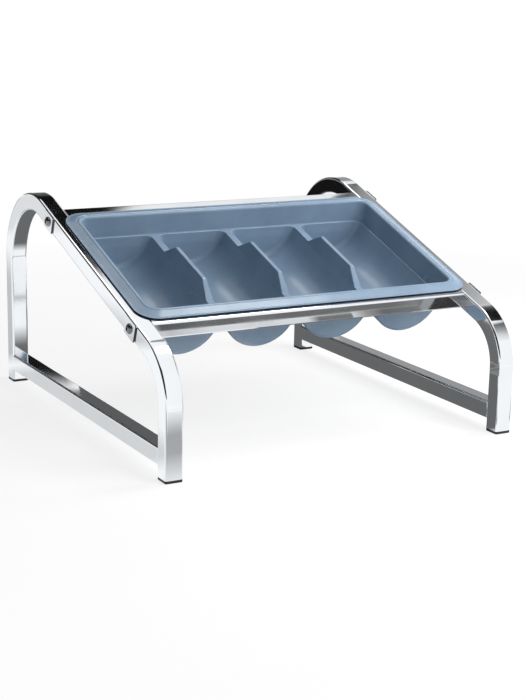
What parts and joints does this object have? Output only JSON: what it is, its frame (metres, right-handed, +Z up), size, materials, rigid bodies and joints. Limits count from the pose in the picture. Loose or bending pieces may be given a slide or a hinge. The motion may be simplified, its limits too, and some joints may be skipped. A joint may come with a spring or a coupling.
{
  "type": "cutlery dispenser",
  "caption": "Sloping counter stand of bent square tube with a lift-out moulded tray of half-round compartments that presents cutlery at an angle.",
  "frame": {"origin": "on the counter, in the middle of the stand's footprint", "axes": "+X across the stand to its right-hand side as seen from the front, +Y from the low front to the high rear, +Z up"},
  "size_m": [0.5522, 0.575, 0.3063],
  "materials": {
    "chromed_tube": "mirror-polished chrome plate on square steel tube",
    "chromed_plate": "polished chrome plate",
    "bolt_steel": "turned bright steel",
    "zinc_plated_steel": "zinc-plated, unpolished",
    "foot_plastic": "black moulded polyethylene",
    "tray_plastic": "satin moulded polypropylene, blue-grey"
  },
  "bodies": {
    "stand": {"left_side_frame": "chromed_tube", "left_lower_stretcher": "chromed_tube", "right_side_frame": "chromed_tube", "right_lower_stretcher": "chromed_tube", "front_crossbar": "chromed_tube", "rear_crossbar": "chromed_tube", "front_left_insert": "zinc_plated_steel", "front_left_plate": "chromed_plate", "front_left_bolt": "bolt_steel", "front_left_foot": "foot_plastic", "front_right_insert": "zinc_plated_steel", "front_right_plate": "chromed_plate", "front_right_bolt": "bolt_steel", "front_right_foot": "foot_plastic", "rear_left_insert": "zinc_plated_steel", "rear_left_plate": "chromed_plate", "rear_left_bolt": "bolt_steel", "rear_left_foot": "foot_plastic", "rear_right_insert": "zinc_plated_steel", "rear_right_plate": "chromed_plate", "rear_right_bolt": "bolt_steel", "rear_right_foot": "foot_plastic"},
    "tray": {"cutlery_tray": "tray_plastic"}
  },
  "joints": [
    {"name": "tray_lift", "type": "slide", "parent": "stand", "child": "tray", "axis": [0, -0.3223, 0.9466], "range_m": [0, 0.12]}
  ]
}
